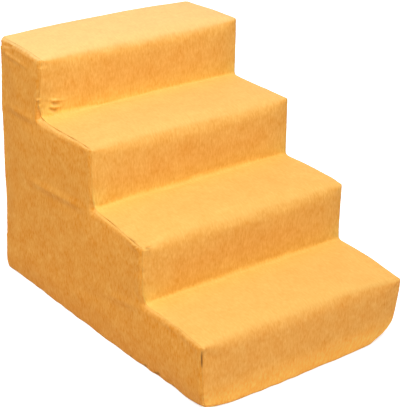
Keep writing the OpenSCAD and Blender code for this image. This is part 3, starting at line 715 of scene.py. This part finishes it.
WADDING, WADDING_TAPER = 2.4, 6
BACK_REACH, ZIP_REACH, ZIP_SHARE = 30, 22, 0.5
for name, piece in panels.items():
    piece.name = "velour_" + name
    piece.data.materials.clear()
    piece.data.materials.append(velour)
    piece.vertex_groups.clear()
    depth = np.zeros(len(piece.data.vertices), np.float32)
    piece.data.attributes["depth"].data.foreach_get("value", depth)
    _, y, z = positions(piece).T
    by_zip = (y > HALF_D - BACK_REACH) & (abs(z - ZIP_Z) < ZIP_REACH)
    loft = np.clip(depth / WADDING_TAPER, 0.1, 1) * np.where(by_zip, ZIP_SHARE, 1)
    give_group(piece, "loft", np.round(loft, 1))
    bpy.ops.object.select_all(action="DESELECT")
    piece.select_set(True)
    bpy.context.view_layer.objects.active = piece
    wadding = piece.modifiers.new("wadding", "SOLIDIFY")
    wadding.thickness, wadding.offset, wadding.vertex_group = WADDING * MM, -1, "loft"
    bpy.ops.object.modifier_apply(modifier="wadding")
    bpy.ops.object.shade_smooth()
    piece.vertex_groups.clear()
    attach(piece, "root")
    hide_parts(name)


# Topstitching: one row of ochre thread along each hem of the back, which holds the zip's tape.
# Each stitch is a short bead of thread, copied along the row and laid on the cloth.
STITCH_PITCH, STITCH_L, THREAD_R, STITCH_IN = 3.4, 2.7, 0.24, 3.2
SEAM_CLEAR = 8
# Spun polyester thread has a soft shine. Its plies, 0.3 mm apart, are drawn 2.2 mm apart to show.
PLY, PLY_RISE = 2.2, 0.1
thread, tree, place_at = new_finish("twisted_thread")
twist = node(tree, "ShaderNodeMapping", {"Vector": place_at, "Rotation": (0, 0.7, 0)})
plies = node(tree, "ShaderNodeTexWave", {"Vector": twist, "Scale": 1 / (PLY * MM), "Distortion": 0.5})
plies = plies.outputs["Fac"]
tone = {"Factor": plies, "A": srgb("#C98A35"), "B": srgb("#E3A34A")}
surface = node(tree, "ShaderNodeBsdfPrincipled", {
    "Base Color": node(tree, "ShaderNodeMix", tone, data_type="RGBA"),
    "Normal": node(tree, "ShaderNodeBump", {"Height": plies, "Strength": 0.6, "Distance": PLY_RISE * MM}),
    "Roughness": 0.6})
node(tree, "ShaderNodeOutputMaterial", {"Surface": surface})


def stitch_row(name, panel, z):
    """Copies one bead along the row and lays each copy on the cloth, a little unevenly."""
    count = int(2 * (SEAM_X - SEAM_CLEAR) / STITCH_PITCH)
    bpy.ops.mesh.primitive_uv_sphere_add(segments=8, ring_count=6, radius=0.5)
    row = bpy.context.object
    row.name = name
    row.dimensions = (STITCH_L * MM, 2 * THREAD_R * MM, 2 * THREAD_R * MM)
    bpy.ops.object.transform_apply(scale=True)
    per_stitch = len(row.data.vertices)
    run = row.modifiers.new("run", "ARRAY")
    run.use_relative_offset, run.use_constant_offset = False, True
    run.constant_offset_displace, run.count = (STITCH_PITCH * MM, 0, 0), count
    bpy.ops.object.modifier_apply(modifier="run")
    beads = positions(row).reshape(count, per_stitch, 3)
    for i in range(count):
        x = (i - (count - 1) / 2) * STITCH_PITCH
        on_cloth = panel.closest_point_on_mesh(Vector((x, HALF_D + 20, z)) * MM)[1]
        uneven = 0.15 * math.sin(i * 2.4)
        beads[i] += np.array([x - i * STITCH_PITCH, on_cloth.y / MM + 0.5 * THREAD_R, z + uneven])
    move_to(row, beads.reshape(-1, 3))
    row.data.materials.append(thread)
    bpy.ops.object.shade_smooth()
    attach(row, "root")


bpy.ops.object.select_all(action="DESELECT")
stitch_row("stitches_upper", panels["back_panel_upper"], WINDOW_HIGH + STITCH_IN)
stitch_row("stitches_lower", panels["back_panel_lower"], WINDOW_LOW - STITCH_IN)


# Foam: four slabs of cream polyurethane foam, cut on a saw and glued face to face. They keep the
# CAD solids' form, with the nosings rounded and settled under the cover.
FOAM_IN, FOAM_NET = 4.6, 6
# Open-cell polyurethane foam is matt, with pores 1.2 mm across and a faintly uneven cream.
PORE, PORE_DEPTH, CLOUD = 1.2, 0.6, 30
foam, tree, place_at = new_finish("open_cell_foam")
pores = node(tree, "ShaderNodeTexVoronoi", {"Vector": place_at, "Scale": 1 / (PORE * MM)})
clouds = node(tree, "ShaderNodeTexNoise", {"Vector": place_at, "Scale": 1 / (CLOUD * MM)})
tone = {"Factor": clouds, "A": srgb("#EBDDB9"), "B": srgb("#F5EBCD")}
surface = node(tree, "ShaderNodeBsdfPrincipled", {
    "Base Color": node(tree, "ShaderNodeMix", tone, data_type="RGBA"),
    "Normal": node(tree, "ShaderNodeBump", {"Height": pores, "Strength": 0.8, "Distance": PORE_DEPTH * MM}),
    "Roughness": 1.0,
    "Specular IOR Level": 0.1})
node(tree, "ShaderNodeOutputMaterial", {"Surface": surface})
for k in range(1, STEPS + 1):
    slab = bpy.data.objects.new(f"foam_{k}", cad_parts[f"foam_slab_{k}"].data.copy())
    bpy.context.scene.collection.objects.link(slab)
    bpy.ops.object.select_all(action="DESELECT")
    slab.select_set(True)
    bpy.context.view_layer.objects.active = slab
    even = slab.modifiers.new("even", "REMESH")
    even.mode, even.voxel_size = "VOXEL", FOAM_NET * MM
    bpy.ops.object.modifier_apply(modifier="even")
    x, y, z = positions(slab).T
    y = y - SHIFT_Y
    r = SOFT_NOSING_R - FOAM_IN
    edges = [(riser_y(k) + FOAM_IN, 1), (HALF_D - FOAM_IN, -1)]
    for corner_y, to_y in edges if k == STEPS else edges[:1]:
        v, w = r - (y - corner_y) * to_y, r - (tread_z(k) - FOAM_IN - z)
        squeeze = np.where((v > 0) & (w > 0), np.minimum(1, r / (np.hypot(v, w) + 1e-9)), 1)
        y = corner_y + to_y * (r - v * squeeze)
        z = tread_z(k) - FOAM_IN - r + w * squeeze
    move_to(slab, settle(np.stack([x, y + SHIFT_Y, z], 1)))
    slab.data.materials.clear()
    slab.data.materials.append(foam)
    bpy.ops.object.shade_smooth()
    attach(slab, "root")
    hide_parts(f"foam_slab_{k}")


# Base: a dark woven cloth sewn in under the hem all round, with rubbery dots printed on its
# underside in staggered rows, which keep the stairs from sliding.
BASE_IN, BASE_Z, BASE_SHEET = 3.2, 0.9, 0.4
BASE_COLUMNS, BASE_ROWS = 66, 98
DOT_PITCH, DOT_R, DOT_H, DOT_CLEAR = 12, 1.3, 0.8, 6
base_w, base_d = SEAM_X - BASE_IN, HALF_D - SEAM_SINK - BASE_IN
# Dark polyester cloth, dull, in a plain weave. Its threads, 0.5 mm apart, are drawn 3.5 mm apart.
WEAVE, WEAVE_RISE = 3.5, 0.3
weave, tree, place_at = new_finish("woven_base_cloth")
wave = {"Vector": place_at, "Scale": 1 / (WEAVE * MM), "Distortion": 0.6}
warp = node(tree, "ShaderNodeTexWave", wave, bands_direction="X").outputs["Fac"]
weft = node(tree, "ShaderNodeTexWave", wave, bands_direction="Y").outputs["Fac"]
threads = node(tree, "ShaderNodeMath", {0: warp, 1: weft}, operation="MULTIPLY")
tone = {"Factor": threads, "A": srgb("#232325"), "B": srgb("#3C3C40")}
surface = node(tree, "ShaderNodeBsdfPrincipled", {
    "Base Color": node(tree, "ShaderNodeMix", tone, data_type="RGBA"),
    "Normal": node(tree, "ShaderNodeBump", {"Height": threads, "Strength": 0.7, "Distance": WEAVE_RISE * MM}),
    "Roughness": 0.85})
node(tree, "ShaderNodeOutputMaterial", {"Surface": surface})
# Printed PVC dots, black, rubbery, scuffed to a patchy shine.
SCUFF = 4
rubber, tree, place_at = new_finish("printed_rubber_dots")
scuffs = node(tree, "ShaderNodeTexNoise", {"Vector": place_at, "Scale": 1 / (SCUFF * MM)})
tone = {"Factor": scuffs, "A": srgb("#1A1A1C"), "B": srgb("#2B2B2E")}
shine = {"Value": scuffs, "From Min": 0.3, "From Max": 0.7, "To Min": 0.4, "To Max": 0.65}
surface = node(tree, "ShaderNodeBsdfPrincipled", {
    "Base Color": node(tree, "ShaderNodeMix", tone, data_type="RGBA"),
    "Roughness": node(tree, "ShaderNodeMapRange", shine, **RAMP)})
node(tree, "ShaderNodeOutputMaterial", {"Surface": surface})

bpy.ops.object.select_all(action="DESELECT")
bpy.ops.mesh.primitive_grid_add(x_subdivisions=BASE_COLUMNS, y_subdivisions=BASE_ROWS, size=2)
base = bpy.context.object
base.name = "base_cloth"
x, y, _ = positions(base).T * MM
move_to(base, settle(draw_foot(np.stack([x * base_w, y * base_d, BASE_Z + 0 * x], 1))))
body = base.modifiers.new("body", "SOLIDIFY")
body.thickness, body.offset = BASE_SHEET * MM, 1
bpy.ops.object.modifier_apply(modifier="body")
base.data.materials.append(weave)

bpy.ops.mesh.primitive_uv_sphere_add(segments=8, ring_count=4, radius=1)
dots = bpy.context.object
dots.name = "base_dots"
dots.scale = (DOT_R * MM, DOT_R * MM, DOT_H / 2 * MM)
bpy.ops.object.transform_apply(scale=True)
one = positions(dots)
across_n, along_n = int(2 * (base_w - DOT_CLEAR) / DOT_PITCH), int(2 * (base_d - DOT_CLEAR) / DOT_PITCH)
for count, to_x, to_y in ((2, 0.5, 0.5), (along_n, 0, 1), (across_n, 1, 0)):
    rows = dots.modifiers.new("rows", "ARRAY")
    rows.use_relative_offset, rows.use_constant_offset, rows.count = False, True, count
    rows.constant_offset_displace = (to_x * DOT_PITCH * MM, to_y * DOT_PITCH * MM, 0)
    bpy.ops.object.modifier_apply(modifier="rows")
beads = positions(dots).reshape(-1, len(one), 3)
middle = beads.mean(axis=1)
middle[:, :2] -= middle[:, :2].mean(axis=0)
middle[:, 2] = DOT_H / 2
beads = one[None] + draw_foot(middle)[:, None]
move_to(dots, beads.reshape(-1, 3))
dots.data.materials.append(rubber)
bpy.ops.object.shade_smooth()
for piece in (base, dots):
    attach(piece, "root")
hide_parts("base_panel")


# Zip: woven tapes, moulded teeth locked across the gap, and a cast slider with its pull. The CAD
# pieces have their true shape and get their finishes here.
# Polyester tape, dull, woven in a herringbone whose ribs are drawn 4 mm apart to show.
RIB, RIB_RISE = 4, 0.2
tape, tree, place_at = new_finish("woven_zip_tape")
herringbone = node(tree, "ShaderNodeMapping", {"Vector": place_at, "Rotation": (0, 0.78, 0)})
ribs = node(tree, "ShaderNodeTexWave", {"Vector": herringbone, "Scale": 1 / (RIB * MM), "Distortion": 0.8})
ribs = ribs.outputs["Fac"]
tone = {"Factor": ribs, "A": srgb("#C08438"), "B": srgb("#D69A48")}
surface = node(tree, "ShaderNodeBsdfPrincipled", {
    "Base Color": node(tree, "ShaderNodeMix", tone, data_type="RGBA"),
    "Normal": node(tree, "ShaderNodeBump", {"Height": ribs, "Strength": 0.5, "Distance": RIB_RISE * MM}),
    "Roughness": 0.8})
node(tree, "ShaderNodeOutputMaterial", {"Surface": surface})
# Moulded acetal teeth have a low, even gloss, soft edges and a hardly varying colour.
TOOTH_CLOUD, TOOTH_EDGE = 10, 0.2
teeth, tree, place_at = new_finish("moulded_plastic_teeth")
clouds = node(tree, "ShaderNodeTexNoise", {"Vector": place_at, "Scale": 1 / (TOOTH_CLOUD * MM)})
tone = {"Factor": clouds, "A": srgb("#D29743"), "B": srgb("#DDA552")}
surface = node(tree, "ShaderNodeBsdfPrincipled", {
    "Base Color": node(tree, "ShaderNodeMix", tone, data_type="RGBA"),
    "Normal": node(tree, "ShaderNodeBevel", {"Radius": TOOTH_EDGE * MM}),
    "Roughness": 0.32})
node(tree, "ShaderNodeOutputMaterial", {"Surface": surface})
# Cast zinc, nickel plated and tumbled to satin: a warm grey metal with a fine grain.
GRAIN, GRAIN_RISE, TARNISH, CAST_EDGE = 0.6, 0.1, 6, 0.3
nickel, tree, place_at = new_finish("satin_nickel_casting")
grain = node(tree, "ShaderNodeTexNoise", {"Vector": place_at, "Scale": 1 / (GRAIN * MM)})
tarnish = node(tree, "ShaderNodeTexNoise", {"Vector": place_at, "Scale": 1 / (TARNISH * MM)})
rounded = node(tree, "ShaderNodeBevel", {"Radius": CAST_EDGE * MM})
tone = {"Factor": tarnish, "A": srgb("#C6C1B6"), "B": srgb("#D8D4CA")}
relief = {"Height": grain, "Strength": 0.12, "Distance": GRAIN_RISE * MM, "Normal": rounded}
satin = {"Value": grain, "From Min": 0.3, "From Max": 0.7, "To Min": 0.24, "To Max": 0.36}
surface = node(tree, "ShaderNodeBsdfPrincipled", {
    "Base Color": node(tree, "ShaderNodeMix", tone, data_type="RGBA"),
    "Normal": node(tree, "ShaderNodeBump", relief),
    "Roughness": node(tree, "ShaderNodeMapRange", satin, **RAMP),
    "Metallic": 1.0})
node(tree, "ShaderNodeOutputMaterial", {"Surface": surface})
METAL_PIECES = ("zip_bottom_stop", "zip_top_stops", "zip_slider", "zip_pull")
for finish, names in (
        (tape, ("zip_tape_upper", "zip_tape_lower")),
        (teeth, ("zip_teeth_upper", "zip_teeth_lower")),
        (nickel, METAL_PIECES)):
    for name in names:
        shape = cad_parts[name].data
        shape.materials.clear()
        shape.materials.append(finish)


# Studio: a white floor that runs out of the picture, soft lamps and a camera on a tripod. The
# camera stands where the photograph was taken from, without a shifted lens. Sizes are in metres.
FLOOR, FLOOR_GLOW, FAR_GLOW, WORLD_LIGHT = 12, 0.68, 0.78, 0.32
bpy.ops.object.select_all(action="DESELECT")
bpy.ops.mesh.primitive_plane_add(size=FLOOR, location=(0, 0, 0))
floor = bpy.context.object
floor.name = "studio_floor"
# Background paper: matt, and lifted to white for the camera alone, so that shadows still show.
paper, tree, place_at = new_finish("white_background_paper")
seen = node(tree, "ShaderNodeLightPath")
spread = node(tree, "ShaderNodeVectorMath", {0: place_at}, operation="LENGTH")
glow = {"Value": spread, "From Min": 1.0, "From Max": 3.5, "To Min": FLOOR_GLOW, "To Max": FAR_GLOW}
glow = {0: seen.outputs["Is Camera Ray"], 1: node(tree, "ShaderNodeMapRange", glow, **RAMP)}
surface = node(tree, "ShaderNodeBsdfPrincipled", {
    "Base Color": srgb("#E2E2E2"),
    "Roughness": 0.9,
    "Specular IOR Level": 0.1,
    "Emission Color": (1, 1, 1, 1),
    "Emission Strength": node(tree, "ShaderNodeMath", glow, operation="MULTIPLY")})
node(tree, "ShaderNodeOutputMaterial", {"Surface": surface})
floor.data.materials.append(paper)

world = bpy.data.worlds.new("studio")
bpy.context.scene.world = world
world.use_nodes = True
tree = world.node_tree
tree.nodes.clear()
seen = node(tree, "ShaderNodeLightPath").outputs
direct = seen["Is Camera Ray"]
for other in ("Is Glossy Ray", "Is Transmission Ray"):
    direct = node(tree, "ShaderNodeMath", {0: direct, 1: seen[other]}, operation="MAXIMUM")
light = node(tree, "ShaderNodeMapRange", {"Value": direct, "To Min": WORLD_LIGHT})
sky = node(tree, "ShaderNodeBackground", {"Color": (1, 1, 1, 1), "Strength": light})
node(tree, "ShaderNodeOutputWorld", {"Surface": sky})

LAMPS_AIM = Vector((0, 0, 0.2))


def soft_lamp(name, place, size, power):
    lamp = bpy.data.lights.new(name, "AREA")
    lamp.shape, lamp.size, lamp.energy = "DISK", size, power
    holder = bpy.data.objects.new(name, lamp)
    bpy.context.scene.collection.objects.link(holder)
    holder.location = place
    holder.rotation_euler = (LAMPS_AIM - Vector(place)).to_track_quat("-Z", "Y").to_euler()


soft_lamp("key_softbox", (-0.58, -1.1, 2.73), 2.2, 71.5)
soft_lamp("fill_softbox", (-1.3, 0.0, 1.7), 1.2, 8.6)
soft_lamp("rear_softbox", (1.25, 1.7, 1.2), 1.6, 11)

CAMERA_AT = (-1.1652, -1.6112, 1.1035)
TURN, TILT, ROLL = math.radians(-36.156), math.radians(24.764), math.radians(0.582)
FOCUS_PX, PICTURE_H_PX, SENSOR_MM = 1299.9, 407, 36
back = Vector((math.sin(TURN) * math.cos(TILT), -math.cos(TURN) * math.cos(TILT), math.sin(TILT)))
level_right = Vector((math.cos(TURN), math.sin(TURN), 0))
level_up = back.cross(level_right)
right = math.cos(ROLL) * level_right + math.sin(ROLL) * level_up
up = math.cos(ROLL) * level_up - math.sin(ROLL) * level_right
camera = bpy.data.objects.new("camera", bpy.data.cameras.new("camera"))
bpy.context.scene.collection.objects.link(camera)
camera.matrix_world = Matrix.Translation(CAMERA_AT) @ Matrix([right, up, back]).transposed().to_4x4()
camera.data.sensor_fit, camera.data.sensor_width = "AUTO", SENSOR_MM
camera.data.lens = FOCUS_PX / PICTURE_H_PX * SENSOR_MM
camera.data.clip_start, camera.data.clip_end = 0.05, 60
bpy.context.scene.camera = camera
bpy.context.scene.view_settings.view_transform = "Standard"
